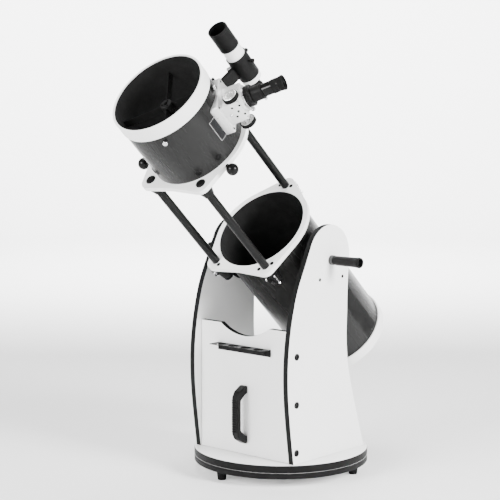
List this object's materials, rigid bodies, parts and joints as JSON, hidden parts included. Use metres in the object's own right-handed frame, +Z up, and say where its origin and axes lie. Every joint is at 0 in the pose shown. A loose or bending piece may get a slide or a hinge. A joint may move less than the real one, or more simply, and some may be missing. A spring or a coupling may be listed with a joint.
{
  "type": "dobsonian telescope",
  "caption": "Truss-tube reflecting telescope on a rocker box: turns in azimuth, tilts in altitude, collapses along its rods, with focuser, eyepiece and finder.",
  "frame": {"origin": "on the floor, under the middle of the whole object's box", "axes": "+Z up; the tube points to -Y and up; +X is the focuser and tension handle side"},
  "size_m": [0.61, 1.0459, 1.3779],
  "materials": {
    "board_white": "white melamine faces with black edge band",
    "ring_white": "white powder coat on cast metal, fine texture",
    "tube_charcoal": "glossy charcoal paint",
    "rod_black": "black satin anodised",
    "plastic_black": "matt moulded",
    "gloss_black": "polished",
    "rubber_black": "matt",
    "chrome": "polished",
    "silver": "satin cast and machined",
    "mirror": "front-silvered glass"
  },
  "bodies": {
    "ground": {"ground_board": "board_white", "foot_1": "rubber_black", "foot_2": "rubber_black", "foot_3": "rubber_black", "roller_cage": "plastic_black", "pivot_bolt": "chrome"},
    "rocker_box": {"rocker_board": "board_white", "side_board_left": "board_white", "side_board_right": "board_white", "front_board": "board_white", "altitude_cradle_left": "plastic_black", "altitude_cradle_right": "plastic_black", "eyepiece_rack": "plastic_black", "carry_handle": "plastic_black"},
    "tension_handle_left": {"tension_handle_left": "plastic_black"},
    "tension_handle_right": {"tension_handle_right": "plastic_black"},
    "lower_tube": {"lower_tube": "tube_charcoal", "lower_truss_ring": "ring_white", "rear_ring": "ring_white", "cell_frame": "plastic_black", "mirror_cell": "silver", "primary_mirror": "mirror", "altitude_hub_left": "plastic_black", "altitude_hub_right": "plastic_black", "truss_clamp_1": "plastic_black", "truss_clamp_2": "plastic_black", "truss_clamp_3": "plastic_black"},
    "clamp_lever_1": {"clamp_lever_1": "chrome"},
    "collimation_knob_1": {"collimation_knob_1": "plastic_black"},
    "ball_knob_1": {"ball_knob_1": "gloss_black"},
    "clamp_lever_2": {"clamp_lever_2": "chrome"},
    "collimation_knob_2": {"collimation_knob_2": "plastic_black"},
    "ball_knob_2": {"ball_knob_2": "gloss_black"},
    "clamp_lever_3": {"clamp_lever_3": "chrome"},
    "collimation_knob_3": {"collimation_knob_3": "plastic_black"},
    "ball_knob_3": {"ball_knob_3": "gloss_black"},
    "upper_stage": {"truss_rod_1": "rod_black", "truss_rod_2": "rod_black", "truss_rod_3": "rod_black", "upper_truss_ring": "ring_white", "upper_tube": "tube_charcoal", "front_ring": "ring_white", "spider": "plastic_black", "secondary_holder": "plastic_black", "secondary_mirror": "mirror", "focuser_base": "silver", "focuser_body": "silver", "finder_shoe": "plastic_black"},
    "focus_knobs": {"focus_shaft_and_knobs": "silver"},
    "focuser_lock_screw": {"focuser_lock_screw": "chrome"},
    "draw_tube": {"draw_tube": "chrome", "eyepiece_holder": "plastic_black"},
    "eyepiece_clamp_screw": {"eyepiece_clamp_screw": "chrome"},
    "eyepiece": {"eyepiece": "gloss_black"},
    "finder": {"finder_bracket": "plastic_black", "finder_tube": "ring_white"},
    "finder_dew_shield": {"finder_dew_shield": "plastic_black"},
    "finder_screw_1": {"finder_screw_1": "plastic_black"},
    "finder_screw_2": {"finder_screw_2": "plastic_black"},
    "shoe_screw": {"shoe_screw": "chrome"}
  },
  "joints": [
    {"name": "azimuth_turn", "type": "hinge", "parent": "ground", "child": "rocker_box", "pos_m": [-0.0035, 0.1168, 0.052], "axis": [0, 0, 1], "continuous": true},
    {"name": "altitude_turn", "type": "hinge", "parent": "rocker_box", "child": "lower_tube", "pos_m": [-0.0035, 0.1168, 0.6707], "axis": [-1, 0, 0], "range_deg": [-43.3, 46]},
    {"name": "tension_handle_left_turn", "type": "hinge", "parent": "rocker_box", "child": "tension_handle_left", "pos_m": [-0.201, 0.1168, 0.6707], "axis": [-1, 0, 0], "range_deg": [-180, 180]},
    {"name": "tension_handle_right_turn", "type": "hinge", "parent": "rocker_box", "child": "tension_handle_right", "pos_m": [0.194, 0.1168, 0.6707], "axis": [1, 0, 0], "range_deg": [-180, 180]},
    {"name": "truss_slide", "type": "slide", "parent": "lower_tube", "child": "upper_stage", "axis": [0, -0.7278, 0.6858], "range_m": [-0.33, 0]},
    {"name": "clamp_lever_1_turn", "type": "hinge", "parent": "lower_tube", "child": "clamp_lever_1", "pos_m": [-0.0035, 0.1742, 0.8818], "axis": [1, 0, 0], "range_deg": [0, 95]},
    {"name": "clamp_lever_2_turn", "type": "hinge", "parent": "lower_tube", "child": "clamp_lever_2", "pos_m": [0.10994, -0.06524, 0.6277], "axis": [-0.809, -0.4031, -0.4278], "range_deg": [0, 95]},
    {"name": "clamp_lever_3_turn", "type": "hinge", "parent": "lower_tube", "child": "clamp_lever_3", "pos_m": [-0.11694, -0.06524, 0.6277], "axis": [-0.809, 0.4031, 0.4278], "range_deg": [0, 95]},
    {"name": "collimation_knob_1_turn", "type": "hinge", "parent": "lower_tube", "child": "collimation_knob_1", "pos_m": [0.07617, 0.44237, 0.42711], "axis": [0, -0.7278, 0.6858], "range_deg": [-180, 180]},
    {"name": "collimation_knob_2_turn", "type": "hinge", "parent": "lower_tube", "child": "collimation_knob_2", "pos_m": [-0.08317, 0.44237, 0.42711], "axis": [0, -0.7278, 0.6858], "range_deg": [-180, 180]},
    {"name": "collimation_knob_3_turn", "type": "hinge", "parent": "lower_tube", "child": "collimation_knob_3", "pos_m": [-0.0035, 0.34773, 0.32667], "axis": [0, -0.7278, 0.6858], "range_deg": [-180, 180]},
    {"name": "ball_knob_1_turn", "type": "hinge", "parent": "upper_stage", "child": "ball_knob_1", "pos_m": [-0.08898, -0.15615, 1.11959], "axis": [-0.5225, 0.5848, 0.6205], "range_deg": [-180, 180]},
    {"name": "ball_knob_2_turn", "type": "hinge", "parent": "upper_stage", "child": "ball_knob_2", "pos_m": [0.14765, -0.29475, 0.9725], "axis": [0.9239, -0.2625, -0.2785], "range_deg": [-180, 180]},
    {"name": "ball_knob_3_turn", "type": "hinge", "parent": "upper_stage", "child": "ball_knob_3", "pos_m": [-0.15465, -0.29475, 0.9725], "axis": [-0.9239, -0.2625, -0.2785], "range_deg": [-180, 180]},
    {"name": "focuser_slide", "type": "slide", "parent": "upper_stage", "child": "draw_tube", "axis": [0.8704, 0.3377, 0.3584], "range_m": [0, 0.035]},
    {"name": "focus_knob_turn", "type": "hinge", "parent": "upper_stage", "child": "focus_knobs", "pos_m": [0.18418, -0.28584, 1.13288], "axis": [0, -0.7278, 0.6858], "range_deg": [-370, 10]},
    {"name": "focuser_lock_turn", "type": "hinge", "parent": "upper_stage", "child": "focuser_lock_screw", "pos_m": [0.13173, -0.24315, 1.17818], "axis": [-0.4924, 0.5969, 0.6334], "range_deg": [-180, 180]},
    {"name": "eyepiece_clamp_turn", "type": "hinge", "parent": "draw_tube", "child": "eyepiece_clamp_screw", "pos_m": [0.19969, -0.25323, 1.15516], "axis": [0.4221, -0.1368, -0.8962], "range_deg": [-180, 180]},
    {"name": "eyepiece_slide", "type": "slide", "parent": "draw_tube", "child": "eyepiece", "axis": [0.8704, 0.3377, 0.3584], "range_m": [0, 0.05]},
    {"name": "finder_slide", "type": "slide", "parent": "upper_stage", "child": "finder", "axis": [0, -0.7278, 0.6858], "range_m": [0, 0.055]},
    {"name": "finder_focus_turn", "type": "hinge", "parent": "finder", "child": "finder_dew_shield", "pos_m": [0.07871, -0.22163, 1.31767], "axis": [0, -0.7278, 0.6858], "range_deg": [-180, 180]},
    {"name": "finder_screw_1_turn", "type": "hinge", "parent": "finder", "child": "finder_screw_1", "pos_m": [0.10755, -0.16278, 1.26638], "axis": [0.9945, 0.0717, 0.0761], "range_deg": [-180, 180]},
    {"name": "finder_screw_2_turn", "type": "hinge", "parent": "finder", "child": "finder_screw_2", "pos_m": [0.07568, -0.14508, 1.28516], "axis": [-0.1045, 0.6821, 0.7238], "range_deg": [-180, 180]},
    {"name": "shoe_screw_turn", "type": "hinge", "parent": "upper_stage", "child": "shoe_screw", "pos_m": [0.06153, -0.22753, 1.19475], "axis": [0.9455, -0.2233, -0.2369], "range_deg": [-180, 180]}
  ],
  "couplings": [
    {"joint": "focus_knob_turn", "follows": "focuser_slide", "rad_per_m": -181.8}
  ]
}
